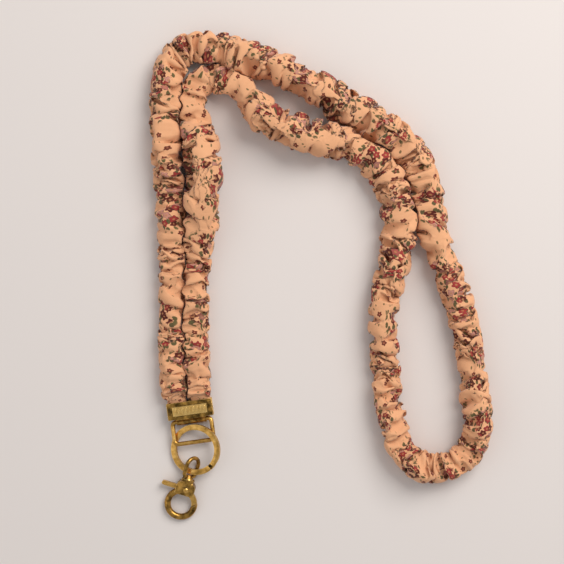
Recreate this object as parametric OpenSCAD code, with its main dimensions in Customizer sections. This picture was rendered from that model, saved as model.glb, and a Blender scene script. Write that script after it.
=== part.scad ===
// Gathered fabric lanyard with a fold-over end clamp, a rectangular wire loop,
// a split ring and a swivel lever hook. It lies flat, as on a table at z = 0.
// Origin: centre of the clamp's back face. +X along the clamp's fold, +Y from
// the clamp up into the strap, +Z up from the table.

/* [Strap] */
// Thickness of the gathered wall of the sleeve
sleeve_wall = 2; // [1.4:0.1:2.2]
// Diameter of the braided core cord
core_d = 5; // [3:0.5:6]
// Height of a strand lying on the table, as a share of its width
strand_flatness = 0.92; // [0.8:0.01:1]
// Width of each strap end, pressed flat inside the clamp
strap_end_w = 12; // [9:0.5:12.2]

/* [Clamp] */
// Width of the clamp along its fold
clamp_w = 25; // [23.5:0.5:30]
// Depth of each clamp plate, from the mouth to the barrel's centre
clamp_depth = 10.8; // [10:0.1:13]
// Overall thickness of the closed clamp
clamp_t = 7.2; // [6.8:0.1:8.6]
// Thickness of the brass sheet
sheet_t = 0.9; // [0.7:0.1:1]
// Height of the pressed panel on the front plate
panel_h = 0.5; // [0.3:0.1:0.8]
// Number of ribs across the panel
rib_count = 9; // [5:1:11]
// Number of teeth along each jaw
tooth_count = 8; // [5:1:9]
// Length of each tooth
tooth_len = 1.3; // [0.8:0.1:1.6]

/* [Rectangle loop] */
// Wire diameter of the rectangle loop
loop_wire = 2.4; // [2:0.1:2.6]
// Outside width of the rectangle loop
loop_w = 24; // [23.5:0.1:26]
// Distance between the centres of its two long bars
loop_h = 12.2; // [11.8:0.1:14]
// Centre-line radius of its corners
loop_corner_r = 2.2; // [1.6:0.1:2.6]

/* [Split ring] */
// Outside diameter of the split ring
ring_od = 28; // [27:0.5:30]
// Radial width of its flat wire
ring_band = 3; // [2:0.1:3.2]
// Thickness of one turn of its flat wire
ring_turn_t = 1.05; // [0.8:0.05:1.1]
// Gap between its two turns
ring_turn_gap = 0.1; // [0.05:0.05:0.2]
// Clearance between the ring and the loop where they link
link_gap = 0.4; // [0.2:0.1:1]

/* [Swivel eye] */
// Wire diameter of the swivel eye
eye_wire = 2.2; // [1.8:0.1:2.3]
// Inside width of the swivel eye
eye_hole_w = 6.4; // [6.2:0.1:7.5]
// Length of the straight sides of the swivel eye
eye_side = 4.1; // [3:0.1:6]
// Diameter of the swivel's stem
stem_d = 3; // [2.4:0.1:3.2]
// Turn of the eye about the hook's long axis
eye_turn = -48; // [-55:1:-40]

/* [Hook] */
// Wire diameter of the round hook
hook_wire = 3.5; // [3:0.1:3.8]
// Inside diameter of the round hook
hook_id = 11.3; // [10:0.1:13]
// Width of the hook's body
body_w = 10.6; // [10:0.1:12]
// Thickness of the hook's body
body_t = 6; // [5.6:0.1:7]
// Diameter of the collar round the swivel's stem
collar_d = 7.2; // [6:0.1:8]
// Lean of the hook away from the strap's axis
hook_lean = 25; // [15:1:30]

/* [Lever] */
// Thickness of the lever
lever_t = 2.2; // [1.8:0.1:2.4]
// Length of the thumb tab from the pivot
tab_len = 14; // [11:0.5:16]
// Width of the gate, across the round of the hook
gate_t = 3; // [2.4:0.1:3.4]
// Thickness of the thumb tab
tab_t = 2.4; // [2:0.1:2.6]
// Travel of the lever
lever_travel = 22; // [16:1:24]
// Diameter of the lever's pin
pin_d = 1.8; // [1.4:0.1:2]

/* [Fits] */
// Radial clearance of a shaft that turns in its bore
running_fit = 0.08; // [0.03:0.01:0.1]
// Gap on each side of the lever in its slot
side_gap = 0.25; // [0.15:0.05:0.4]
// Gap between parts that face each other
face_gap = 0.3; // [0.2:0.05:0.5]

/* [Hidden] */
$fn = 48;
eps = 0.01;

// Clamp: barrel centre, jaw gap and plate edges
barrel_r_in = loop_wire / 2 + running_fit;
barrel_wall = 0.7;
barrel_r_out = barrel_r_in + barrel_wall;
barrel_y = -5;
barrel_z = clamp_t / 2;
mouth_y = barrel_y + clamp_depth;
jaw_gap = clamp_t - 2 * sheet_t;
barrel_len = loop_w - loop_wire - 2 * loop_corner_r - 2 * face_gap;
plate_from = barrel_y + loop_wire / 2 + face_gap;
// How far from the barrel's centre each plate's slope ends, outside and inside
slope_out = 1.2;
slope_in = 1.9;
tooth_margin = 1.5;
tooth_share = 0.7;
panel_margin = 3;
panel_d = 5;
rib_margin = 0.8;
rib_h = 0.25;

// Split ring: centre line radius and stack height
ring_r = (ring_od - ring_band) / 2;
ring_stack = 2 * ring_turn_t + ring_turn_gap;
// Where the wire steps between turns, and the break at each end of it
ring_step_at = 315;
ring_break = 8;

// The ring passes under one side of the loop and over the other, and lies on the
// table along its low side
loop_half = (loop_w - loop_wire) / 2;
ring_roll = asin((loop_wire / 2 + ring_stack / 2 + link_gap) / loop_half);
ring_z = ring_od / 2 * sin(ring_roll) + ring_stack / 2 * cos(ring_roll);
// The loop lifts until its side wires are level with the ring's roll axis where they cross
ring_top = -8.9;
ring_y = ring_top - ring_r;
crossing_y = ring_y + sqrt(ring_r * ring_r - pow(loop_half / cos(ring_roll), 2));
loop_lift = asin((ring_z - barrel_z) / (barrel_y - crossing_y));

// Hook: distances along its own axis, measured up from the centre of its round
hook_r = (hook_id + hook_wire) / 2;
weld = 0.1;
body_bottom = hook_id / 2 - weld;
pivot = [0.5, hook_r + 1.2];
boss_r = 2;
head_r = stem_d / 2 + 0.5;
head_t = 0.9;
head_gap = 0.2;
head_bottom = pivot[1] + boss_r + 0.7;
chamber_top = head_bottom + head_t + head_gap;
body_top = chamber_top + 0.6;
collar_h = 1.5;
collar_root = 2.4;
collar_top = body_top + collar_h;
eye_base = collar_top + 0.1;
eye_base_d = collar_d - 1.6;
body_round = body_w / 2 + 0.4;
eye_bottom = eye_base + eye_wire / 2;
eye_r = (eye_hole_w + eye_wire) / 2;
eye_corner_r = 2.6;
eye_slack = 0.6;
eye_seat = eye_bottom + ring_band / 2 + eye_wire / 2 + eye_slack;

// Where the ring passes through the eye, as an angle round the ring from its bottom
eye_on_ring = 21.5;
seat_x = -ring_r * sin(eye_on_ring) * cos(ring_roll);
seat_y = ring_y - ring_r * cos(eye_on_ring);
seat_ring_z = ring_z - ring_r * sin(eye_on_ring) * sin(ring_roll);

// The hook and the eye both rest on the table, which pitches the hook's axis
eye_drop = eye_r * sin(abs(eye_turn)) + eye_wire / 2;
eye_low = eye_bottom + eye_corner_r;
hook_pitch = asin((eye_drop - hook_wire / 2) / (eye_low + hook_r));
seat_z = hook_wire / 2 + (eye_seat + hook_r) * sin(hook_pitch);

// Lever: the gate closes the hook from the slot to a seam centred on the pivot,
// which crosses the round of the hook at the angle gate_end
gate_start = 62;
gate_end = 11;
seam_r = norm(hook_r * [cos(gate_end), sin(gate_end)] - pivot);
slot_half = lever_t / 2 + side_gap;
tab_offset = 0.2;
// The gate reaches past its seam and back under the shoulder before it is trimmed
gate_lap = 8;
shoulder_at = gate_start - 12;
shoulder_inset = 0.2;
// How far the slot reaches below and above the pivot on the gate's side
slot_below = boss_r + 2.6;
slot_above = 1.4;
spring_wire = 0.3;
spring_turns = 3;
recess_wall = 0.35;
recess_r = boss_r - recess_wall;
rivet_head = 0.3;
rivet_flare = 0.8;
// Edges of the slot for the tab, above and below the pivot
tab_low = tab_offset - tab_t / 2 - face_gap;
tab_rise = (tab_offset + tab_t / 2 + face_gap) / cos(lever_travel);

// Route of the strap's centre: x, y, z, width and height of the strand there
function lying(x, y, w) = [x, y, w * strand_flatness / 2, w, w * strand_flatness];
end_z = clamp_t / 2;
end_gap = 0.1;
end_h = jaw_gap - 2 * end_gap;
route = [
    [-6.3, -1.5, end_z, strap_end_w, end_h],
    [-6.4, 6, end_z, strap_end_w, end_h],
    lying(-7.5, 18, 13.5), lying(-4, 50, 13), lying(0.5, 80, 13.2), lying(4.5, 114, 16),
    lying(8, 160, 16.5), lying(16, 190, 16), lying(32, 198, 16.5),
    lying(58, 190, 17), lying(86, 172, 18.5), lying(116, 149, 18.5), lying(138, 128, 17.5),
    lying(146.5, 104, 16), lying(148, 74, 15.5), lying(155, 36, 17), lying(156.5, 4, 15.5),
    lying(155, -26, 18), lying(147, -43, 17.5), lying(131, -49, 17), lying(116, -41, 17),
    lying(109.5, -12, 16.5), lying(113, 38, 16), lying(122, 64, 18),
    lying(127, 90, 17), lying(124, 113, 17.5), lying(107, 131, 17), lying(84, 141, 21),
    lying(64, 154, 21), lying(50, 170, 16.5), lying(39, 178, 15), lying(29, 174, 14.5),
    lying(26, 160, 15.5), lying(26.5, 140, 21.5), lying(24, 112, 21), lying(17, 86, 14.5),
    lying(12, 58, 13.5), lying(7.5, 18, 13.5),
    [6.4, 6, end_z, strap_end_w, end_h],
    [6.3, -1.5, end_z, strap_end_w, end_h]
];
rings_per_step = 2;

// One point of the smooth curve between route[i] and route[i + 1], at share t
function before(i) = i == 0 ? 2 * route[0] - route[1] : route[i - 1];
function after(i) = i + 2 > len(route) - 1 ? 2 * route[i + 1] - route[i] : route[i + 2];
function along(i, t) = 0.5 * (2 * route[i] + (route[i + 1] - before(i)) * t
    + (2 * before(i) - 5 * route[i] + 4 * route[i + 1] - after(i)) * t * t
    + (3 * route[i] - before(i) - 3 * route[i + 1] + after(i)) * t * t * t);
// No part of a strand sinks below the table
function lifted(p) = [p[0], p[1], max(p[2], p[4] / 2), p[3], p[4]];
strand = [for (i = [0:len(route) - 2]) for (k = [0:rings_per_step - 1])
          lifted(along(i, k / rings_per_step)),
          route[len(route) - 1]];

// Unit vector across the strand, level with the table
function heading(i) = let (a = strand[max(i - 1, 0)], b = strand[min(i + 1, len(strand) - 1)])
    [b[0] - a[0], b[1] - a[1]] / norm([b[0] - a[0], b[1] - a[1]]);
function section(i, w, h, sides) = let (p = strand[i], d = heading(i))
    [for (k = [0:sides - 1]) let (u = w / 2 * cos(360 * k / sides), v = h / 2 * sin(360 * k / sides))
        [p[0] + d[1] * u, p[1] - d[0] * u, p[2] + v]];

// Quads between successive rings of a skin that starts at point number "first"
function skin(first, sides, flip) = [for (i = [0:len(strand) - 2]) for (k = [0:sides - 1])
    let (a = first + i * sides + k, b = first + i * sides + (k + 1) % sides)
        flip ? [b, a, a + sides, b + sides] : [a, b, b + sides, a + sides]];

module fabric_sleeve() {
    sides = 12;
    n = len(strand) * sides;
    last = n - sides;
    outer = [for (i = [0:len(strand) - 1]) each section(i, strand[i][3], strand[i][4], sides)];
    inner = [for (i = [0:len(strand) - 1])
        each section(i, strand[i][3] - 2 * sleeve_wall, strand[i][4] - 2 * sleeve_wall, sides)];
    caps = [for (k = [0:sides - 1]) let (m = (k + 1) % sides) each [
        [k, n + k, n + m, m],
        [last + m, n + last + m, n + last + k, last + k]]];
    color("salmon")
        polyhedron(concat(outer, inner), concat(skin(0, sides, false), skin(n, sides, true), caps));
}

module core_cord() {
    sides = 8;
    last = (len(strand) - 1) * sides;
    points = [for (i = [0:len(strand) - 1]) each section(i,
        min(core_d, strand[i][3] - 2 * sleeve_wall - 1),
        min(core_d, strand[i][4] - 2 * sleeve_wall - 0.4), sides)];
    start_cap = [[for (k = [sides - 1:-1:0]) k]];
    end_cap = [[for (k = [0:sides - 1]) last + k]];
    color("ivory") polyhedron(points, concat(skin(0, sides, false), start_cap, end_cap));
}

// Cross-section of the folded clamp: back plate, barrel and front plate
module clamp_profile() {
    neck = barrel_r_out - sheet_t;
    difference() {
        union() {
            translate([barrel_y, barrel_z]) circle(barrel_r_out);
            polygon([[barrel_y, barrel_z + neck], [barrel_y, barrel_z + barrel_r_out],
                     [barrel_y + slope_out, clamp_t], [mouth_y, clamp_t], [mouth_y, clamp_t - sheet_t],
                     [barrel_y + slope_in, clamp_t - sheet_t]]);
            polygon([[barrel_y, barrel_z - neck], [barrel_y, barrel_z - barrel_r_out],
                     [barrel_y + slope_out, 0], [mouth_y, 0], [mouth_y, sheet_t],
                     [barrel_y + slope_in, sheet_t]]);
        }
        translate([barrel_y, barrel_z]) circle(barrel_r_in);
    }
}

// A row of teeth along one jaw, pointing up from z = 0
module teeth() {
    tooth_w = (clamp_w - 2 * tooth_margin) / tooth_count;
    half = tooth_w * tooth_share / 2;
    for (i = [0:tooth_count - 1])
        translate([-clamp_w / 2 + tooth_margin + (i + 0.5) * tooth_w, mouth_y, 0])
            rotate([90, 0, 0]) linear_extrude(sheet_t)
                polygon([[-half, -eps], [half, -eps], [0, tooth_len]]);
}

module end_clamp() {
    panel_w = clamp_w - 2 * panel_margin;
    panel_y = (mouth_y + plate_from) / 2 - 0.2;
    rib_w = panel_w / (2 * rib_count + 1);
    color("darkgoldenrod") {
        difference() {
            translate([-clamp_w / 2, 0, 0]) rotate([90, 0, 90]) linear_extrude(clamp_w) clamp_profile();
            for (side = [-1, 1])
                translate([side * (barrel_len / 2 + clamp_w / 2), barrel_y - barrel_r_out, clamp_t / 2])
                    cube([clamp_w, 2 * (barrel_r_out + plate_from - barrel_y), 2 * clamp_t], center = true);
        }
        translate([0, 0, sheet_t]) teeth();
        translate([0, 0, clamp_t - sheet_t]) mirror([0, 0, 1]) teeth();
        translate([-panel_w / 2, panel_y - panel_d / 2, clamp_t - eps])
            cube([panel_w, panel_d, panel_h + eps]);
        for (i = [0:rib_count - 1])
            translate([-panel_w / 2 + (2 * i + 1) * rib_w, panel_y - panel_d / 2 + rib_margin,
                       clamp_t + panel_h - eps])
                cube([rib_w, panel_d - 2 * rib_margin, rib_h + eps]);
    }
}

// A straight round bar from a to b in the XY plane
module bar(a, b, d) {
    run = norm(b - a);
    translate([a[0], a[1], 0]) rotate([0, 90, atan2(b[1] - a[1], b[0] - a[0])]) cylinder(d = d, h = run);
}

// A quarter, half or other stretch of round wire bent to radius r about the origin
module bend(r, d, from, sweep) {
    rotate([0, 0, from]) rotate_extrude(angle = sweep) translate([r, 0]) circle(d = d, $fn = 32);
}

module rectangle_loop() {
    half_w = loop_half;
    inner_x = half_w - loop_corner_r;
    low = -loop_h + loop_corner_r;
    color("goldenrod") translate([0, barrel_y, barrel_z]) rotate([-loop_lift, 0, 0]) {
        bar([-inner_x, 0], [inner_x, 0], loop_wire);
        bar([-inner_x, -loop_h], [inner_x, -loop_h], loop_wire);
        for (side = [-1, 1]) {
            bar([side * half_w, low], [side * half_w, -loop_corner_r], loop_wire);
            translate([side * inner_x, -loop_corner_r])
                bend(loop_corner_r, loop_wire, side > 0 ? 0 : 90, 90);
            translate([side * inner_x, low])
                bend(loop_corner_r, loop_wire, side > 0 ? 270 : 180, 90);
        }
    }
}

// Carries a shape from the ring's own frame to where the ring lies
module at_ring() {
    translate([0, ring_y, ring_z]) rotate([0, -ring_roll, 0]) children();
}

// One flat turn of the split ring, with a short break
module ring_turn(z, from) {
    translate([0, 0, z]) rotate([0, 0, from]) rotate_extrude(angle = 360 - ring_break)
        translate([ring_od / 2 - ring_band, 0]) square([ring_band, ring_turn_t]);
}

module split_ring() {
    step = 4;
    inset = 0.3;
    color("peru") at_ring() {
        ring_turn(-ring_stack / 2, ring_step_at + ring_break);
        ring_turn(ring_turn_gap / 2, ring_step_at - step);
        // the wire steps up from the end of the lower turn to the start of the upper one
        rotate([0, 0, ring_step_at - step + inset]) rotate_extrude(angle = step - 2 * inset)
            translate([ring_od / 2 - ring_band + inset, -ring_turn_gap])
                square([ring_band - 2 * inset, 2 * ring_turn_gap]);
    }
}

// Carries a shape from the hook's own frame to where the hook lies: the round is
// centred on the frame's origin and +Y runs up through the collar and the eye
module at_hook() {
    translate([seat_x, seat_y, seat_z]) rotate([hook_pitch, 0, -hook_lean])
        translate([0, -eye_seat, 0]) children();
}

module swivel_eye() {
    top = eye_bottom + eye_corner_r + eye_side;
    inner = eye_r - eye_corner_r;
    color("darkgoldenrod") at_hook() {
        rotate([0, -eye_turn, 0]) {
            translate([0, top]) bend(eye_r, eye_wire, 0, 180);
            for (side = [-1, 1]) {
                bar([side * eye_r, eye_bottom + eye_corner_r], [side * eye_r, top], eye_wire);
                translate([side * inner, eye_bottom + eye_corner_r])
                    bend(eye_corner_r, eye_wire, side > 0 ? 270 : 180, 90);
            }
            bar([-inner, eye_bottom], [inner, eye_bottom], eye_wire);
        }
        translate([0, head_bottom, 0]) rotate([-90, 0, 0]) cylinder(r = head_r, h = head_t);
        translate([0, head_bottom, 0]) rotate([-90, 0, 0])
            cylinder(d = stem_d, h = eye_bottom - head_bottom);
        translate([0, eye_base, 0]) rotate([-90, 0, 0])
            cylinder(d1 = eye_base_d, d2 = eye_wire, h = eye_wire);
    }
}

// A flat shape in the hook's plane, given the lever's thickness
module lever_plate() {
    translate([0, 0, -lever_t / 2]) linear_extrude(lever_t) children();
}

// Thumb tab, boss, shoulder and gate of the lever
module lever_blank() {
    tab_y = pivot[1] + tab_offset;
    tab_end = pivot[0] - tab_len + tab_t / 2;
    lever_plate() translate(pivot) circle(boss_r);
    lever_plate() translate([tab_end, tab_y]) circle(tab_t / 2);
    lever_plate() translate([tab_end, tab_y - tab_t / 2]) square([pivot[0] - tab_end - 0.3, tab_t]);
    lever_plate() polygon([pivot + [-0.4, -boss_r * 0.8], pivot + [boss_r * 0.8, 0.6],
        (hook_r + gate_t / 2 - shoulder_inset) * [cos(shoulder_at), sin(shoulder_at)],
        (hook_r - gate_t / 2 + shoulder_inset) * [cos(gate_start), sin(gate_start)]]);
    // the gate follows the round of the hook and ends at the seam
    intersection() {
        rotate([0, 0, gate_end - gate_lap]) translate([0, 0, -lever_t / 2])
            rotate_extrude(angle = gate_start + gate_lap - gate_end)
                translate([hook_r - gate_t / 2, 0]) square([gate_t, lever_t]);
        translate([pivot[0], pivot[1], -lever_t]) cylinder(r = seam_r, h = 2 * lever_t);
    }
}

module hook_lever() {
    color("goldenrod") at_hook() difference() {
        lever_blank();
        translate([pivot[0], pivot[1], -lever_t])
            cylinder(d = pin_d + 2 * running_fit, h = 2 * lever_t);
        translate([pivot[0], pivot[1], 0]) cylinder(r = recess_r, h = lever_t);
    }
}

module hook_body() {
    color("darkgoldenrod") at_hook() difference() {
        union() {
            // round of the hook, from the body round to the seam
            difference() {
                bend(hook_r, hook_wire, 110, 270);
                translate([pivot[0], pivot[1], -hook_wire])
                    cylinder(r = seam_r + face_gap, h = 2 * hook_wire);
            }
            bend(hook_r, hook_wire, 110, 90);
            // body with rounded corners
            intersection() {
                translate([-body_w / 2, body_bottom, -body_t / 2])
                    cube([body_w, body_top - body_bottom, body_t]);
                translate([0, (body_bottom + body_top) / 2 - 1, -body_t])
                    cylinder(r = body_round, h = 2 * body_t);
            }
            translate([0, body_top - collar_root, 0]) rotate([-90, 0, 0])
                cylinder(d = collar_d, h = collar_h + collar_root);
        }
        // slot that the lever sweeps, open to the left for the tab and to the right for the gate
        translate([0, 0, -slot_half]) linear_extrude(2 * slot_half) {
            translate(pivot) circle(boss_r + face_gap);
            polygon([pivot + [-boss_r, tab_low], [-body_w, pivot[1] + tab_low],
                     [-body_w, pivot[1] + tab_rise + body_w * tan(lever_travel)],
                     pivot + [0, tab_rise], pivot + [boss_r, 0]]);
            polygon([pivot + [-boss_r - 0.2, -0.6], pivot + [-0.4, -slot_below],
                     [body_w, pivot[1] - slot_below], [body_w, pivot[1] + slot_above],
                     pivot + [boss_r, slot_above]]);
        }
        // pin bore
        translate([pivot[0], pivot[1], -body_t]) cylinder(d = pin_d, h = 2 * body_t);
        // chamber for the stem's head, and the stem's bore
        translate([0, head_bottom - head_gap, 0]) rotate([-90, 0, 0])
            cylinder(r = head_r + head_gap, h = head_t + 2 * head_gap);
        rotate([-90, 0, 0]) cylinder(d = stem_d + 2 * running_fit, h = collar_top + 1);
    }
}

module lever_pin() {
    color("gold") at_hook() translate([pivot[0], pivot[1], -body_t / 2]) {
        cylinder(d = pin_d, h = body_t);
        translate([0, 0, -rivet_head]) cylinder(d1 = pin_d, d2 = pin_d + rivet_flare, h = rivet_head);
        translate([0, 0, body_t]) cylinder(d1 = pin_d + rivet_flare, d2 = pin_d, h = rivet_head);
    }
}

// Torsion spring: close flat turns round the pin, in the lever's recess
module lever_spring() {
    lift = 0.05;
    coil_r = pin_d / 2 + running_fit + spring_wire / 2 + lift;
    lead = spring_wire * 0.98;
    color("silver") at_hook() translate([pivot[0], pivot[1], lift])
        for (i = [0:spring_turns - 1])
            translate([0, 0, i * lead + spring_wire / 2])
                rotate_extrude() translate([coil_r, 0]) circle(d = spring_wire, $fn = 16);
}

fabric_sleeve();
core_cord();
end_clamp();
rectangle_loop();
split_ring();
swivel_eye();
hook_body();
hook_lever();
lever_pin();
lever_spring();
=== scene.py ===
"""Looks for the gathered fabric lanyard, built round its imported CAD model."""

import math

import bpy
import numpy as np
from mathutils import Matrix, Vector


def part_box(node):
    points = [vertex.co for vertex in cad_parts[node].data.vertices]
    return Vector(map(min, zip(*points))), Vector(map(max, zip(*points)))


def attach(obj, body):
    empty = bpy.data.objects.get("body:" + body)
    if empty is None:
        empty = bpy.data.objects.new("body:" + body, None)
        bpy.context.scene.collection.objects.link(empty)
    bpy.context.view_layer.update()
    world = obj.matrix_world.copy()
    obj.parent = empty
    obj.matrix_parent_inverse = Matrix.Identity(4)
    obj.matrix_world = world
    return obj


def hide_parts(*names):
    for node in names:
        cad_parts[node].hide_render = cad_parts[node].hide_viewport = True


bl_info = {
    "name": "Gathered Lanyard",
    "version": (1, 0, 0),
    "blender": (4, 5, 0),
    "location": "3D View > Sidebar > Lanyard",
    "description": "Gathered cotton sleeve, brass fittings, floor and light of a fabric lanyard",
    "category": "Object",
}

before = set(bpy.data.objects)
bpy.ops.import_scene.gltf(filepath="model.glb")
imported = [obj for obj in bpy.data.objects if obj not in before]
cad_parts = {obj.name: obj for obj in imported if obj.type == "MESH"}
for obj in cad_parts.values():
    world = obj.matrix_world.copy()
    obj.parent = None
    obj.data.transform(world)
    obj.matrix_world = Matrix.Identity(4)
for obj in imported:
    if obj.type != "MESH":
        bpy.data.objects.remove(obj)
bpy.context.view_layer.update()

# Route of the strap's centre in millimetres, as in the CAD model: x, y and the strand's width
FLATNESS = 0.92
END_ROWS = ([-6.3, -1.5, 3.6, 12, 5.2], [-6.4, 6, 3.6, 12, 5.2])
LYING = (
    (-7.5, 18, 13.5), (-4, 50, 13), (0.5, 80, 13.2), (4.5, 114, 16), (8, 160, 16.5),
    (16, 190, 16), (32, 198, 16.5), (58, 190, 17), (86, 172, 18.5), (116, 149, 18.5),
    (138, 128, 17.5), (146.5, 104, 16), (148, 74, 15.5), (155, 36, 17), (156.5, 4, 15.5),
    (155, -26, 18), (147, -43, 17.5), (131, -49, 17), (116, -41, 17), (109.5, -12, 16.5),
    (113, 38, 16), (122, 64, 18), (127, 90, 17), (124, 113, 17.5), (107, 131, 17),
    (84, 141, 21), (64, 154, 21), (50, 170, 16.5), (39, 178, 15), (29, 174, 14.5),
    (26, 160, 15.5), (26.5, 140, 21.5), (24, 112, 21), (17, 86, 14.5), (12, 58, 13.5),
    (7.5, 18, 13.5),
)
MM = 0.001

HELD = 0.0078  # how much of each end the clamp holds flat
FULL = 0.020  # where the gathers reach their full depth
GIRTH = 0.052  # width of the print that goes once round the strand
STITCHES = (0.006, 0.0115)  # shortest and longest stitch along the underside
STRANDS_APART = 0.045  # cloth this far away along the strap belongs to another strand


# ---------------------------------------------------------------- helpers

def deselect():
    """Nothing selected, and object mode."""
    if bpy.context.object and bpy.context.object.mode != "OBJECT":
        bpy.ops.object.mode_set(mode="OBJECT")
    bpy.ops.object.select_all(action="DESELECT")


def activate(piece):
    """Only this piece selected, and active."""
    deselect()
    piece.select_set(True)
    bpy.context.view_layer.objects.active = piece
    return piece


def cubic(t):
    """Weights of the four values round a share t."""
    return (
        -0.5 * t + t * t - 0.5 * t ** 3,
        1 - 2.5 * t * t + 1.5 * t ** 3,
        0.5 * t + 2 * t * t - 1.5 * t ** 3,
        -0.5 * t * t + 0.5 * t ** 3,
    )


def noise(along, around, cell, turns, seed):
    """Smooth noise from -1 to 1 on a tube: cell is its length along and turns the cells round it."""
    a = along / cell
    rows = int(a.max()) + 5
    values = np.random.default_rng(seed).uniform(-1, 1, (rows, turns))
    b = around / (2 * math.pi) * turns
    ia, ib = np.floor(a).astype(int), np.floor(b).astype(int)
    wa, wb = cubic(a - ia), cubic(b - ib)
    total = 0
    for p in range(4):
        for q in range(4):
            total = total + wa[p] * wb[q] * values[(ia + p) % rows, (ib + q - 1) % turns]
    return total


# ---------------------------------------------------------------- shader maths

class Wire:
    """A shader socket that takes part in Python arithmetic."""

    def __init__(self, sheet, socket):
        self.sheet, self.socket = sheet, socket

    def sum(self, operation, *values):
        return self.sheet.add("ShaderNodeMath", {"operation": operation}, dict(enumerate(values)))[0]

    def __add__(self, other):
        return self.sum("ADD", self, other)

    __radd__ = __add__

    def __mul__(self, other):
        return self.sum("MULTIPLY", self, other)

    __rmul__ = __mul__

    def __sub__(self, other):
        return self.sum("SUBTRACT", self, other)

    def __rsub__(self, other):
        return self.sum("SUBTRACT", other, self)

    def __truediv__(self, other):
        return self.sum("DIVIDE", self, other)

    def __rtruediv__(self, other):
        return self.sum("DIVIDE", other, self)


class Sheet:
    """A material's node tree."""

    def __init__(self, name):
        self.material = bpy.data.materials.new(name)
        self.material.use_nodes = True
        self.tree = self.material.node_tree
        self.tree.nodes.clear()

    def add(self, kind, settings=None, sockets=None):
        """A node of that type, its settings made first, then its sockets. Gives its outputs."""
        node = self.tree.nodes.new(kind)
        for key, value in (settings or {}).items():
            setattr(node, key, value)
        for key, value in (sockets or {}).items():
            if isinstance(value, Wire):
                self.tree.links.new(value.socket, node.inputs[key])
            else:
                node.inputs[key].default_value = value
        return [Wire(self, output) for output in node.outputs]

    def step(self, value, low, high):
        """0 below low, 1 above high, smooth between; low above high turns it round."""
        sockets = {"Value": value, "From Min": low, "From Max": high}
        if low > high:
            sockets.update({"From Min": high, "From Max": low, "To Min": 1.0, "To Max": 0.0})
        return self.add("ShaderNodeMapRange", {"interpolation_type": "SMOOTHSTEP"}, sockets)[0]

    def mix(self, share, first, second):
        """first where share is 0 and second where it is 1."""
        ends = [colour if isinstance(colour, Wire) else (*colour, 1) for colour in (first, second)]
        return self.add("ShaderNodeMix", {"data_type": "RGBA"}, {0: share, 6: ends[0], 7: ends[1]})[2]

    def sine(self, value):
        return self.add("ShaderNodeMath", {"operation": "SINE"}, {0: value})[0]

    def noise(self, vector, scale, detail=2.0, roughness=0.5):
        return self.add("ShaderNodeTexNoise", {"noise_dimensions": "3D"},
                        {"Vector": vector, "Scale": scale, "Detail": detail, "Roughness": roughness})[0]

    def finish(self, **sockets):
        """Ends in a Principled BSDF with these sockets, and gives the material."""
        sockets = {key.replace("_", " "): value for key, value in sockets.items()}
        shader = self.add("ShaderNodeBsdfPrincipled", None, sockets)[0]
        self.add("ShaderNodeOutputMaterial", None, {"Surface": shader})
        return self.material


# ---------------------------------------------------------------- materials

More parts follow.
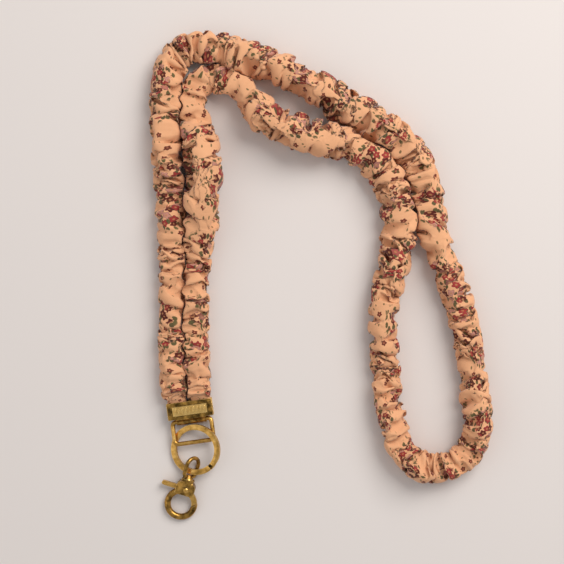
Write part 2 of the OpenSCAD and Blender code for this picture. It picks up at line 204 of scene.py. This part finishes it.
def printed_cotton(ground):
    """Peach cotton with small bouquets and scattered sprigs, and a plain weave."""
    s = Sheet("printed_cotton")
    cloth = s.add("ShaderNodeUVMap", {"uv_map": "cloth"})[0]
    u, v, _ = s.add("ShaderNodeSeparateXYZ", None, {0: cloth})

    def cells(size, offset, squash=1.0, randomness=0.9):
        """Distance to the nearest cell's centre in mm, that cell's random numbers, and both places."""
        x = u / size + offset
        y = v / (size * squash) + 2.7 * offset
        vector = s.add("ShaderNodeCombineXYZ", None, {0: x, 1: y})[0]
        d, colour, place = s.add("ShaderNodeTexVoronoi", {"voronoi_dimensions": "2D"},
                                 {"Vector": vector, "Scale": 1.0, "Randomness": randomness})[:3]
        return d * size, s.add("ShaderNodeSeparateColor", None, {0: colour}), (x, y, place)

    def flower(size, offset, radius, petals):
        """Mask of petalled flowers, of their dark edge and of their centre."""
        d, rand, (x, y, place) = cells(size, offset)
        px, py, _ = s.add("ShaderNodeSeparateXYZ", None, {0: place})
        turn = s.add("ShaderNodeMath", {"operation": "ARCTAN2"}, {0: y - py, 1: x - px})[0]
        edge = s.sine(turn * petals + rand[0] * 6.3) * (radius * 0.2) + radius
        inside = s.step(d - edge, 0.1, -0.05)
        rim = s.step(d - edge, -0.3, -0.1) * inside
        heart = s.step(d, radius * 0.36, radius * 0.24)
        return inside, rim, heart, rand

    wobble = s.noise(cloth, 0.55, 2.0) * 5 - 2.5
    far = cells(25.0, 3.1)[0]
    bouquet = s.step(far + wobble, 8.3, 6.9)
    fringe = s.step(far + wobble, 10.7, 9.1)

    shade = s.noise(cloth, 0.05, 3.0)
    colour = s.mix(s.step(shade, 0.35, 0.65), tuple(c * 0.93 for c in ground), ground)
    faded = s.noise(cloth, 1.6, 2.0)
    colour = s.mix(s.step(faded, 0.45, 0.8) * 0.18, colour, (0.86, 0.53, 0.34))

    # leaves and stems, then the bouquets' flowers over them
    leaf, leaf_rand, _ = cells(3.6, 11.3, 0.6)
    leaves = s.step(leaf, 1.55, 1.25) * s.step(leaf_rand[0], 0.28, 0.32) * fringe
    green = s.mix(leaf_rand[1], (0.014, 0.036, 0.010), (0.055, 0.07, 0.016))
    colour = s.mix(leaves * 0.9, colour, green)
    petal, rim, heart, rand = flower(4.0, 5.9, 1.78, 5)
    red = s.mix(s.step(rand[1], 0.45, 0.65), (0.10, 0.013, 0.008), (0.33, 0.035, 0.030))
    red = s.mix(s.step(rand[2], 0.78, 0.85), red, (0.55, 0.24, 0.18))
    colour = s.mix(petal * bouquet, colour, red)
    colour = s.mix(rim * bouquet * 0.6, colour, (0.07, 0.014, 0.008))
    colour = s.mix(heart * bouquet * 0.75, colour, (0.50, 0.22, 0.09))

    # single sprigs on the open ground
    open_ground = s.step(far + wobble, 10.0, 11.2)
    sprig, _, sprig_heart, sprig_rand = flower(8.6, 17.7, 1.25, 5)
    here = open_ground * s.step(sprig_rand[1], 0.22, 0.26)
    colour = s.mix(sprig * here, colour, (0.15, 0.03, 0.016))
    colour = s.mix(sprig_heart * here, colour, (0.45, 0.16, 0.08))
    bud, bud_rand, _ = cells(6.2, 29.2, 0.5)
    buds = s.step(bud, 0.95, 0.75) * s.step(bud_rand[0], 0.5, 0.54) * open_ground
    colour = s.mix(buds * 0.85, colour, (0.11, 0.09, 0.03))

    # pleats too fine for the folds of the cloth itself, and warm shadow deep in the folds
    pleat_place = s.add("ShaderNodeCombineXYZ", None, {0: u / 5.2, 1: v / 17})[0]
    pleat = s.noise(pleat_place, 1.0, 2.0)
    pleats = s.add("ShaderNodeBump", None, {"Strength": 1.0, "Distance": 0.0011, "Height": pleat})[0]
    open_sky = s.add("ShaderNodeAmbientOcclusion", {"samples": 6, "only_local": True},
                     {"Distance": 0.004})[1]
    colour = s.mix(s.step(open_sky, 0.72, 0.18) * 0.42, colour, (0.26, 0.085, 0.032))

    thread_width = 0.42
    thread = 2 * math.pi / thread_width
    over = s.sine(u * thread) * s.sine(v * thread)
    fuzz = s.noise(cloth, 3.5, 3.0)
    height = over * 0.5 + fuzz * 0.8
    bump = s.add("ShaderNodeBump", None, {
        "Strength": 0.25, "Distance": 0.0001, "Height": height, "Normal": pleats})[0]
    # painted shade: the cotton darkens where the weave's threads dip low
    colour = s.mix(s.step(over, -0.2, -0.9) * 0.12, colour, (0.30, 0.13, 0.07))
    rough = fuzz * 0.12 + 0.78
    return s.finish(Base_Color=colour, Roughness=rough, Normal=bump, Sheen_Weight=0.22,
                    Sheen_Roughness=0.45, Specular_IOR_Level=0.25)


def brass(name, look, polish, rough, raised=None):
    """Antique brass: patina left in the recesses, rubbed bright on the edges and above raised."""
    s = Sheet(name)
    place = s.add("ShaderNodeTexCoord")[3]
    normal = s.add("ShaderNodeNewGeometry")[1]
    round_normal = s.add("ShaderNodeBevel", {"samples": 6}, {"Radius": 0.0006})[0]
    facing = s.add("ShaderNodeVectorMath", {"operation": "DOT_PRODUCT"},
                   {0: normal, 1: round_normal})[1]
    edge = s.step(facing, 0.985, 0.86)
    open_sky = s.add("ShaderNodeAmbientOcclusion", {"samples": 8, "only_local": True},
                     {"Distance": 0.0022})[1]
    recess = s.step(open_sky, 0.85, 0.4)
    cloud = s.noise(place, 260.0, 4.0, 0.6)
    fine = s.noise(place, 1500.0, 3.0)
    worn = cloud + edge * 0.6 - recess * 0.9 + polish
    if raised is not None:
        high = s.add("ShaderNodeSeparateXYZ", None, {0: place})[2]
        worn = worn + s.step(high, raised - 0.0001, raised + 0.0002) * 0.45 - 0.12
    clean = s.step(worn, 0.18, 0.62)
    worn = s.step(worn, 0.45, 0.95)
    colour = s.mix(clean, tuple(look.patina), tuple(look.brass))
    colour = s.mix(worn, colour, tuple(look.rubbed))
    grain = fine * 0.10 + cloud * 0.12 + rough - worn * 0.12 + recess * 0.2
    bump = s.add("ShaderNodeBump", None, {"Strength": 0.35, "Distance": 0.00008, "Height": fine + cloud})[0]
    return s.finish(Base_Color=colour, Metallic=1.0, Roughness=grain, Normal=bump)


def spring_steel():
    """Bright drawn wire."""
    s = Sheet("spring_steel")
    place = s.add("ShaderNodeTexCoord")[3]
    streak = s.noise(place, 2500.0, 2.0)
    colour = s.mix(streak, (0.42, 0.41, 0.39), (0.66, 0.65, 0.62))
    return s.finish(Base_Color=colour, Metallic=1.0, Roughness=streak * 0.2 + 0.25)


def braided_cord():
    """Pale braid of crossing strands."""
    s = Sheet("braided_cord")
    place = s.add("ShaderNodeTexCoord")[3]
    x, y, z = s.add("ShaderNodeSeparateXYZ", None, {0: place})
    strand_width = 0.0016
    strand = 2 * math.pi / strand_width
    over = s.sine((x + y + z) * strand) * s.sine((x - y) * strand)
    fuzz = s.noise(place, 1800.0, 3.0)
    # painted shade: the braid is dark where its strands dip low and pale where they rise
    colour = s.mix(s.step(over, -0.6, 0.4), (0.55, 0.50, 0.42), (0.86, 0.82, 0.74))
    bump = s.add("ShaderNodeBump", None, {
        "Strength": 0.6, "Distance": 0.0003, "Height": over + fuzz * 0.5})[0]
    return s.finish(Base_Color=colour, Roughness=fuzz * 0.1 + 0.8, Normal=bump)


def pale_floor(colour):
    """Matt paper with a faint cloud in it."""
    s = Sheet("pale_floor")
    place = s.add("ShaderNodeTexCoord")[3]
    cloud = s.noise(place, 3.0, 3.0)
    tone = s.mix(cloud * 0.5, colour, tuple(c * 0.97 for c in colour))
    return s.finish(Base_Color=tone, Roughness=0.9, Specular_IOR_Level=0.2)


# ---------------------------------------------------------------- sleeve

def route(per_step):
    """The strap's smooth route: rows of x, y, z, width and height in metres."""
    rows = [list(r) for r in END_ROWS]
    rows += [[x, y, w * FLATNESS / 2, w, w * FLATNESS] for x, y, w in LYING]
    rows += [[-x, y, z, w, h] for x, y, z, w, h in reversed(END_ROWS)]
    p = np.array(rows, float)
    p = np.vstack([2 * p[0] - p[1], p, 2 * p[-1] - p[-2]])
    out = []
    for i in range(1, len(p) - 2):
        for k in range(per_step):
            t = k / per_step
            out.append(sum(w * p[i - 1 + j] for j, w in enumerate(cubic(t))))
    out.append(p[-2])
    out = np.array(out) * MM
    out[:, 2] = np.maximum(out[:, 2], out[:, 4] / 2)
    return out


def evenly(rows, count):
    """The same route with points evenly spaced along it, and the distance along."""
    far = np.concatenate([[0], np.cumsum(np.linalg.norm(np.diff(rows[:, :3], axis=0), axis=1))])
    at = np.linspace(0, far[-1], count)
    return np.stack([np.interp(at, far, rows[:, k]) for k in range(rows.shape[1])], 1), at


def smooth_step(value, low, high):
    """0 below low, 1 above high, smooth between."""
    t = np.clip((value - low) / (high - low), 0, 1)
    return t * t * (3 - 2 * t)


def sideways(centre):
    """Level unit vectors across the route."""
    ahead = np.gradient(centre[:, :2], axis=0)
    ahead /= np.linalg.norm(ahead, axis=1)[:, None]
    return np.stack([ahead[:, 1], -ahead[:, 0], np.zeros(len(ahead))], 1)


def rings_round(centre, wide, high, turn):
    """Rings of points round the route, at each turn wide to the side and high above it."""
    return centre[:, None, :] + sideways(centre)[:, None, :] * (wide * np.cos(turn))[..., None] \
        + np.array([0, 0, 1.0]) * (high * np.sin(turn))[..., None]


def smooth_tube(rings, sides, gather, seed):
    """The sleeve before it gathers: a slim lumpy tube on the route, full width only in the clamp.
    Gives the route's rows, the distance along, the vertices and how far each ring will grow."""
    rows, at = evenly(route(40), rings)
    centre, width, height = rows[:, :3], rows[:, 3], rows[:, 4]
    angle = np.arange(sides) / sides * 2 * math.pi - math.pi / 2
    far, turn = np.meshgrid(at, angle, indexing="ij")
    from_end = np.minimum(at, at[-1] - at)
    slim = smooth_step(from_end, HELD, FULL)
    grown = 1 + (gather - 1) * slim
    puff_length = 0.0072
    puffs = 0.10 * np.cos(2 * math.pi * (far / puff_length + 0.55 * noise(far, turn, 0.016, 3, seed + 2)))
    wrinkles = 0.12 * noise(far, turn, 0.0035, 5, seed) + 0.06 * noise(far, turn, 0.0018, 8, seed + 1)
    lumps = 1 + (puffs + wrinkles) * slim[:, None]
    fuller = 1 + 0.20 * slim
    wide = (width / 2 / grown * fuller)[:, None] * lumps
    high = (height / 2 / grown * fuller)[:, None] * lumps
    return rows, at, rings_round(centre, wide, high, turn), grown


def tube_faces(rings, sides):
    """Four-sided faces between neighbouring rings."""
    i, k = np.meshgrid(np.arange(rings - 1), np.arange(sides), indexing="ij")
    this, next_one = i * sides + k, i * sides + (k + 1) % sides
    return np.stack([this, this + sides, next_one + sides, next_one], -1).reshape(-1, 4)


def plain_object(name, vertices, faces):
    """An object with these vertices and faces."""
    mesh = bpy.data.meshes.new(name)
    mesh.from_pydata(vertices.reshape(-1, 3).tolist(), [], faces.tolist())
    piece = bpy.data.objects.new(name, mesh)
    bpy.context.collection.objects.link(piece)
    return piece


def hold(cloth, at, sides, grown, gather, seed):
    """Pins the clamped ends and the stitches, and keeps the ends from growing."""
    rings = len(at)
    held = cloth.vertex_groups.new(name="held")
    ends = np.where(grown < 1.02)[0]
    held.add([int(r * sides + k) for r in ends for k in range(sides)], 1, "REPLACE")
    # stitches along the underside keep the fullness from sliding away
    spacing = np.random.default_rng(seed + 20).uniform(*STITCHES, 200)
    stitched = np.searchsorted(at, np.cumsum(spacing))
    held.add([int(r * sides) for r in stitched if r < rings], 1, "REPLACE")
    uncut = cloth.vertex_groups.new(name="uncut")
    for r in np.where(grown < gather - 0.001)[0]:
        share = float((gather - grown[r]) / (gather - 1))
        uncut.add([int(r * sides + k) for k in range(sides)], share, "REPLACE")


def solids_under(rows, scale):
    """The core inside the cloth and the table below it, both solid to the cloth."""
    core_radius, wall, sides, skin = 0.0026, 0.0008, 12, 0.006
    core_rows = rows[::3]
    thick = np.minimum(core_radius, core_rows[:, 4] / 2 - wall)[:, None]
    turn = np.arange(sides) / sides * 2 * math.pi
    place = rings_round(core_rows[:, :3], thick, thick, turn)
    core = plain_object("core", place * scale, tube_faces(len(core_rows), sides))
    deselect()
    bpy.ops.mesh.primitive_plane_add(size=12, location=(1.2, 1.2, 0))
    table = bpy.context.object
    for solid in (core, table):
        solid.modifiers.new("solid", "COLLISION")
        solid.collision.thickness_outer = skin
        solid.collision.cloth_friction = 5
    return core, table


def make_cotton(cloth, gather, frames):
    """Cloth settings of light cotton that grows by the gather."""
    weave = cloth.modifiers.new("weave", "CLOTH")
    how = weave.settings
    how.quality = 4
    how.mass = 0.15
    how.tension_stiffness = how.compression_stiffness = 20
    how.shear_stiffness = 8
    how.bending_stiffness = 0.5
    how.tension_damping = how.compression_damping = how.shear_damping = 5
    how.bending_damping = 0.5
    how.air_damping = 3
    how.vertex_group_mass = "held"
    how.vertex_group_shrink = "uncut"
    how.shrink_min = 1 - gather
    how.shrink_max = 0.0
    how.effector_weights.gravity = 0.3
    how.use_pressure = True
    how.uniform_pressure_force = 1.2
    weave.collision_settings.distance_min = 0.01
    weave.collision_settings.collision_quality = 2
    weave.collision_settings.use_self_collision = False
    weave.point_cache.frame_start, weave.point_cache.frame_end = 1, frames


def gather_cloth(rings, sides, gather, frames, seed):
    """Lets a slim tube of cloth grow to its cut size between its two held ends, over the core and
    on the table, so that it buckles into gathers. The simulation runs at 20 times life size."""
    scale = 20.0
    rows, at, place, grown = smooth_tube(rings, sides, gather, seed)
    cloth = plain_object("cloth", place * scale, tube_faces(rings, sides))
    hold(cloth, at, sides, grown, gather, seed)
    core, table = solids_under(rows, scale)
    make_cotton(cloth, gather, frames)
    for frame_number in range(1, frames + 1):
        bpy.context.scene.frame_set(frame_number)
    settled = cloth.evaluated_get(bpy.context.evaluated_depsgraph_get())
    flat = np.empty(rings * sides * 3)
    settled.data.vertices.foreach_get("co", flat)
    bpy.context.scene.frame_set(1)
    for helper in (cloth, core, table):
        mesh = helper.data
        bpy.data.objects.remove(helper)
        bpy.data.meshes.remove(mesh)
    return rows, at, flat.reshape(rings, sides, 3) / scale


def nearest(points, line, allowed):
    """Index of each point's nearest point on the line, of those allowed, and how far that is."""
    index, far = np.empty(len(points), int), np.empty(len(points))
    batch = 4000
    for start in range(0, len(points), batch):
        part = slice(start, start + batch)
        d = np.linalg.norm(points[part, None] - line[None], axis=2)
        d[~allowed(part)] = 1.0
        index[part] = d.argmin(1)
        far[part] = d.min(1)
    return index, far


def part_neighbours(rows, at, place, gap):
    """Where two strands touch, each stops at a wavy line between them."""
    line, along, width = rows[::3, :2], at[::3], rows[::3, 3]
    rings, sides = place.shape[:2]
    points, home = place.reshape(-1, 3), np.repeat(at, sides)
    own, _ = nearest(points[:, :2], line, lambda part: np.abs(home[part, None] - along) < 0.012)
    other, far = nearest(points[:, :2], line, lambda part: np.abs(home[part, None] - along) > STRANDS_APART)
    toward = line[other] - line[own]
    apart = np.linalg.norm(toward, axis=1)
    toward /= apart[:, None]
    # the line between them wanders in waves of about 13 mm, the same way for both strands
    wander = 0.0011
    x, y = points[:, 0], points[:, 1]
    wave = wander * np.sin(y * 470 + 1.6 * np.sin(y * 173 + x * 90)) * np.where(home < at[-1] / 2, 1, -1)
    limit = apart * width[own] / (width[own] + width[other]) + wave - gap
    reach = ((points[:, :2] - line[own]) * toward).sum(1)
    soft, beside = 0.0014, 0.016
    free = limit - soft
    over = np.where(far < beside, reach - free, -1.0)
    squeezed = np.where(over > 0, free + soft * (1 - np.exp(-np.maximum(over, 0) / soft)), reach)
    points[:, :2] += (squeezed - reach)[:, None] * toward
    return points.reshape(rings, sides, 3)


def filled_out(rows, at, place):
    """Swells or slims each stretch so that its folds reach the strand's width there."""
    out = place - rows[:, None, :3]
    across = np.abs((out * sideways(rows[:, :3])[:, None, :]).sum(-1))
    reach = np.percentile(across, 92, axis=1)
    window = np.hanning(2 * int(0.012 / at[1]) + 1)
    window /= window.sum()
    reach = np.convolve(np.pad(reach, len(window) // 2, mode="edge"), window, "valid")
    from_end = np.minimum(at, at[-1] - at)
    swell = np.clip(rows[:, 3] / 2 / reach, 0.85, 1.45) - 1
    swell *= smooth_step(from_end, 0.008, 0.016)
    out[..., 2] *= 0.6
    return place + out * swell[:, None, None]


def drawn_together(rows, at, place):
    """Where two strands lie side by side, their folds swell toward each other until they touch."""
    line, along, width = rows[::3, :2], at[::3], rows[::3, 3]
    other, apart = nearest(rows[:, :2], line, lambda part: np.abs(at[part, None] - along) > STRANDS_APART)
    toward = (line[other] - rows[:, :2]) / apart[:, None]
    half, its_half = rows[:, 3] / 2, width[other] / 2
    overlap, furthest = 0.0034, 0.0135
    needed = np.minimum(apart * half / (half + its_half) + overlap, furthest)
    swell = np.clip(needed / half, 1, 1.7) - 1
    swell *= 1 - smooth_step(apart - half - its_half, 0.0045, 0.0075)
    swell *= smooth_step(np.minimum(at, at[-1] - at), 0.0085, 0.015)
    window = np.hanning(2 * int(0.006 / at[1]) + 1)
    swell = np.convolve(swell, window / window.sum(), "same")
    reach = ((place[..., :2] - rows[:, None, :2]) * toward[:, None]).sum(-1)
    place = place.copy()
    place[..., :2] += (np.maximum(reach, 0) * swell[:, None])[..., None] * toward[:, None]
    return place


def kept_close(rows, at, place, soft):
    """No fold stands further from the strand's centre than a soft limit past its own radius."""
    rings, sides = place.shape[:2]
    line, along = rows[::3], at[::3]
    points, home = place.reshape(-1, 3), np.repeat(at, sides)
    own, _ = nearest(points, line[:, :3], lambda part: np.abs(home[part, None] - along) < 0.015)
    out = points - line[own, :3]
    far = np.linalg.norm(out, axis=1)
    free = line[own, 3] / 2 - soft / 2
    kept = np.where(far > free, free + soft * (1 - np.exp(-np.maximum(far - free, 0) / soft)), far)
    return (line[own, :3] + out * (kept / np.maximum(far, 1e-6))[:, None]).reshape(rings, sides, 3)


def eased(place, share):
    """Takes the sharpest points off the folds."""
    beside = (np.roll(place, 1, 1) + np.roll(place, -1, 1)) / 2
    along = place.copy()
    along[1:-1] = (place[:-2] + place[2:]) / 2
    return place * (1 - share) + (beside + along) / 2 * share


def settle(place):
    """Rests the cloth on the table: what would sink below it lies flat on it."""
    soft, lift = 0.0010, 0.00015
    z = place[..., 2]
    place[..., 2] = np.where(z < soft, lift + (soft - lift) * np.exp((z - soft) / (soft - lift)), z)
    return place


def sleeve_mesh(name, at, place, gather):
    """The rings joined into a tube, with a UV map in mm: along the cut cloth, and round the print."""
    rings, sides = place.shape[:2]
    faces = tube_faces(rings, sides)
    piece = plain_object(name, place, faces)
    along = np.repeat(at * gather * 1000, sides)
    around = np.tile(np.arange(sides) / sides * GIRTH * 1000, rings)
    cloth = np.stack([along[faces], around[faces]], -1)
    last = faces[:, 0] % sides == sides - 1
    cloth[last, 2:, 1] += GIRTH * 1000
    layer = piece.data.uv_layers.new(name="cloth")
    layer.data.foreach_set("uv", cloth.astype(np.float32).ravel())
    return piece


def close_ends(piece):
    """Fills the tube's two ends, which the clamp holds."""
    activate(piece)
    bpy.ops.object.mode_set(mode="EDIT")
    bpy.ops.mesh.select_all(action="DESELECT")
    bpy.ops.mesh.select_non_manifold()
    bpy.ops.mesh.fill_holes(sides=0)
    bpy.ops.mesh.select_all(action="SELECT")
    bpy.ops.mesh.normals_make_consistent(inside=False)
    bpy.ops.object.mode_set(mode="OBJECT")


# ---------------------------------------------------------------- metal

def finished_copy(node, name, bevel):
    """A copy of a fitting with its facets merged and its sharp edges rounded."""
    merge, flat, sharp, smooth = 0.000004, math.radians(0.6), math.radians(38), math.radians(32)
    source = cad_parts[node]
    piece = bpy.data.objects.new(name, source.data.copy())
    bpy.context.collection.objects.link(piece)
    piece.data.materials.clear()
    activate(piece)
    bpy.ops.object.mode_set(mode="EDIT")
    bpy.ops.mesh.select_all(action="SELECT")
    bpy.ops.mesh.remove_doubles(threshold=merge)
    bpy.ops.mesh.dissolve_limited(angle_limit=flat)
    bpy.ops.mesh.select_all(action="SELECT")
    bpy.ops.mesh.normals_make_consistent(inside=False)
    bpy.ops.object.mode_set(mode="OBJECT")
    rounding = piece.modifiers.new("edges", "BEVEL")
    rounding.width = bevel
    rounding.segments = 2
    rounding.limit_method = "ANGLE"
    rounding.angle_limit = sharp
    bpy.ops.object.modifier_apply(modifier=rounding.name)
    bpy.ops.object.shade_smooth_by_angle(angle=smooth)
    return piece


def paint(piece, material):
    """Gives the piece this material alone."""
    piece.data.materials.clear()
    piece.data.materials.append(material)
    return piece


def fitting(node, name, body, metal, bevel):
    """The finished fitting that takes a CAD node's place."""
    piece = paint(finished_copy(node, name, bevel), metal)
    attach(piece, body)
    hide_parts(node)


# ---------------------------------------------------------------- settings

class LanyardSleeveSettings(bpy.types.PropertyGroup):
    ground: bpy.props.FloatVectorProperty(
        name="Ground", description="Ground colour of the printed cotton",
        default=(0.83, 0.415, 0.212), size=3, subtype="COLOR", min=0, max=1)
    gather: bpy.props.FloatProperty(
        name="Gather", description="Length of the cut cloth, as a share of the strap",
        default=2.2, min=1.2, max=2.6)
    frames: bpy.props.IntProperty(
        name="Frames", description="Frames that the cloth gathers for", default=19, min=4, max=60)
    rings: bpy.props.IntProperty(
        name="Rings", description="Rings along the sleeve", default=1640, min=200, max=1900)
    sides: bpy.props.IntProperty(
        name="Sides", description="Sides round the sleeve", default=48, min=12, max=50)
    seed: bpy.props.IntProperty(
        name="Seed", description="Start number of the folds' pattern", default=7)


class LanyardMetalSettings(bpy.types.PropertyGroup):
    patina: bpy.props.FloatVectorProperty(
        name="Patina", description="Colour left in the recesses",
        default=(0.065, 0.037, 0.010), size=3, subtype="COLOR", min=0, max=1)
    brass: bpy.props.FloatVectorProperty(
        name="Brass", description="Colour of the aged brass",
        default=(0.60, 0.325, 0.072), size=3, subtype="COLOR", min=0, max=1)
    rubbed: bpy.props.FloatVectorProperty(
        name="Rubbed Brass", description="Colour of the worn edges",
        default=(0.93, 0.61, 0.21), size=3, subtype="COLOR", min=0, max=1)
    edge: bpy.props.FloatProperty(
        name="Edge Rounding", description="Rounding of the fittings' edges",
        default=0.0002, min=0.00005, max=0.0006, unit="LENGTH", precision=5)


class LanyardStageSettings(bpy.types.PropertyGroup):
    floor: bpy.props.FloatVectorProperty(
        name="Floor", description="Colour of the floor",
        default=(0.76, 0.695, 0.655), size=3, subtype="COLOR", min=0, max=1)
    key: bpy.props.FloatProperty(
        name="Key Light", description="Strength of the main soft light",
        default=11.0, min=0, unit="POWER")
    fill: bpy.props.FloatProperty(
        name="Ambient", description="Strength of the light from all round",
        default=0.475, min=0)
    view_width: bpy.props.FloatProperty(
        name="View Width", description="Width of the table that the camera sees",
        default=0.310, min=0.1, unit="LENGTH")


# ---------------------------------------------------------------- operators

class LANYARD_OT_stage(bpy.types.Operator):
    """Lay the floor, hang the lights and place the camera"""
    bl_idname = "lanyard.stage"
    bl_label = "Stage"

    def execute(self, context):
        look = context.scene.lanyard_stage
        centre = Vector((0.0601, 0.0636, 0))
        lens, sensor, turn = 85.0, 36.0, math.radians(-8)
        mid_height = 0.008
        camera = bpy.data.objects.new("camera", bpy.data.cameras.new("camera"))
        camera.data.lens, camera.data.sensor_width = lens, sensor
        camera.location = centre + Vector((0, 0, look.view_width * lens / sensor + mid_height))
        camera.rotation_euler = (0, 0, turn)
        camera.data.clip_start = 0.01
        context.collection.objects.link(camera)
        context.scene.camera = camera
        across = Vector((math.cos(turn), math.sin(turn), 0))
        upward = Vector((-math.sin(turn), math.cos(turn), 0))

        deselect()
        bpy.ops.mesh.primitive_plane_add(size=8, location=(centre.x, centre.y, 0))
        floor = paint(context.object, pale_floor(tuple(look.floor)))
        floor.name = "floor"
        bpy.ops.object.transform_apply(location=True)

        for name, right, high, away, size, power in (
            ("key_light", 0.55, 0.62, 0.85, 0.75, look.key),
            ("fill_light", -0.9, -0.15, 0.8, 1.0, look.key * 0.14),
        ):
            light = bpy.data.lights.new(name, "AREA")
            light.shape, light.size, light.energy = "SQUARE", size, power
            light.color = (1.0, 0.985, 0.97)
            lamp = bpy.data.objects.new(name, light)
            lamp.location = centre + across * right + upward * high + Vector((0, 0, away))
            lamp.rotation_mode = "QUATERNION"
            lamp.rotation_quaternion = (centre - lamp.location).to_track_quat("-Z", "Y")
            context.collection.objects.link(lamp)

        world = bpy.data.worlds.new("studio")
        world.use_nodes = True
        backdrop = world.node_tree.nodes["Background"]
        backdrop.inputs["Color"].default_value = (0.97, 0.98, 1.0, 1)
        backdrop.inputs["Strength"].default_value = look.fill
        context.scene.world = world
        context.scene.view_settings.view_transform = "Standard"
        return {"FINISHED"}


class LANYARD_OT_sleeve(bpy.types.Operator):
    """Gather the cotton sleeve over its core"""
    bl_idname = "lanyard.sleeve"
    bl_label = "Gathered Sleeve"

    def execute(self, context):
        look = context.scene.lanyard_sleeve
        rows, at, place = gather_cloth(look.rings, look.sides, look.gather, look.frames, look.seed)
        place = filled_out(rows, at, eased(place, share=0.35))
        place = drawn_together(rows, at, kept_close(rows, at, place, soft=0.0034))
        place = settle(part_neighbours(rows, at, place, gap=0.00004))
        piece = sleeve_mesh("gathered_sleeve", at, place, look.gather)
        close_ends(piece)
        bpy.ops.object.shade_smooth()
        paint(piece, printed_cotton(tuple(look.ground)))
        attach(piece, "strap")
        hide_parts("fabric_sleeve")
        path = evenly(route(40), 160)[0][:, :3]
        length = float(np.linalg.norm(np.diff(path, axis=0), axis=1).sum())
        return {"FINISHED"}


class LANYARD_OT_core(bpy.types.Operator):
    """Give the core its braid"""
    bl_idname = "lanyard.core"
    bl_label = "Braided Core"

    def execute(self, context):
        paint(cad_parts["core_cord"], braided_cord())
        return {"FINISHED"}


class LANYARD_OT_clamp(bpy.types.Operator):
    """Round and age the fold-over clamp"""
    bl_idname = "lanyard.clamp"
    bl_label = "Fold-Over Clamp"

    def execute(self, context):
        look = context.scene.lanyard_metal
        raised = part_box("end_clamp")[1].z - 0.0004
        pressed = brass("pressed_brass", look, -0.02, 0.27, raised)
        fitting("end_clamp", "fold_clamp", "strap", pressed, look.edge)
        return {"FINISHED"}


class LANYARD_OT_rings(bpy.types.Operator):
    """Round and rub the wire loop and the split ring"""
    bl_idname = "lanyard.rings"
    bl_label = "Wire Loop and Split Ring"

    def execute(self, context):
        look = context.scene.lanyard_metal
        rubbed = brass("rubbed_brass", look, 0.05, 0.22)
        fitting("rectangle_loop", "wire_loop", "loop", rubbed, look.edge)
        fitting("split_ring", "key_ring", "ring", rubbed, look.edge * 1.9)
        return {"FINISHED"}


class LANYARD_OT_hook(bpy.types.Operator):
    """Round and age the swivel hook, with its lever, rivet and spring"""
    bl_idname = "lanyard.hook"
    bl_label = "Swivel Hook"

    def execute(self, context):
        look = context.scene.lanyard_metal
        aged = brass("antique_brass", look, -0.09, 0.24)
        worn = brass("worn_brass", look, 0.05, 0.22)
        fitting("swivel_eye", "swivel_link", "eye", aged, look.edge)
        fitting("hook_body", "hook", "hook", aged, look.edge * 2)
        fitting("hook_lever", "lever", "lever", worn, look.edge * 1.6)
        fitting("lever_pin", "rivet", "hook", worn, look.edge * 0.5)
        paint(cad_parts["lever_spring"], spring_steel())
        return {"FINISHED"}


class LANYARD_PT_panel(bpy.types.Panel):
    """The lanyard's pieces and settings"""
    bl_idname = "LANYARD_PT_panel"
    bl_label = "Lanyard"
    bl_space_type = "VIEW_3D"
    bl_region_type = "UI"
    bl_category = "Lanyard"

    def draw(self, context):
        layout = self.layout
        for title, group, operators in (
            ("Stage", context.scene.lanyard_stage, ("lanyard.stage",)),
            ("Sleeve", context.scene.lanyard_sleeve, ("lanyard.sleeve", "lanyard.core")),
            ("Fittings", context.scene.lanyard_metal, ("lanyard.clamp", "lanyard.rings", "lanyard.hook")),
        ):
            box = layout.box()
            box.label(text=title)
            for key in group.__annotations__:
                box.prop(group, key)
            for name in operators:
                box.operator(name)


CLASSES = (
    LanyardSleeveSettings, LanyardMetalSettings, LanyardStageSettings, LANYARD_OT_stage,
    LANYARD_OT_sleeve, LANYARD_OT_core, LANYARD_OT_clamp, LANYARD_OT_rings, LANYARD_OT_hook,
    LANYARD_PT_panel,
)


def register():
    for cls in CLASSES:
        bpy.utils.register_class(cls)
    bpy.types.Scene.lanyard_sleeve = bpy.props.PointerProperty(type=LanyardSleeveSettings)
    bpy.types.Scene.lanyard_metal = bpy.props.PointerProperty(type=LanyardMetalSettings)
    bpy.types.Scene.lanyard_stage = bpy.props.PointerProperty(type=LanyardStageSettings)


def unregister():
    del bpy.types.Scene.lanyard_stage, bpy.types.Scene.lanyard_metal, bpy.types.Scene.lanyard_sleeve
    for cls in reversed(CLASSES):
        bpy.utils.unregister_class(cls)


def main():
    """Builds everything."""
    register()
    bpy.ops.lanyard.stage()
    bpy.ops.lanyard.sleeve()
    bpy.ops.lanyard.core()
    bpy.ops.lanyard.clamp()
    bpy.ops.lanyard.rings()
    bpy.ops.lanyard.hook()


if __name__ == "__main__":
    main()
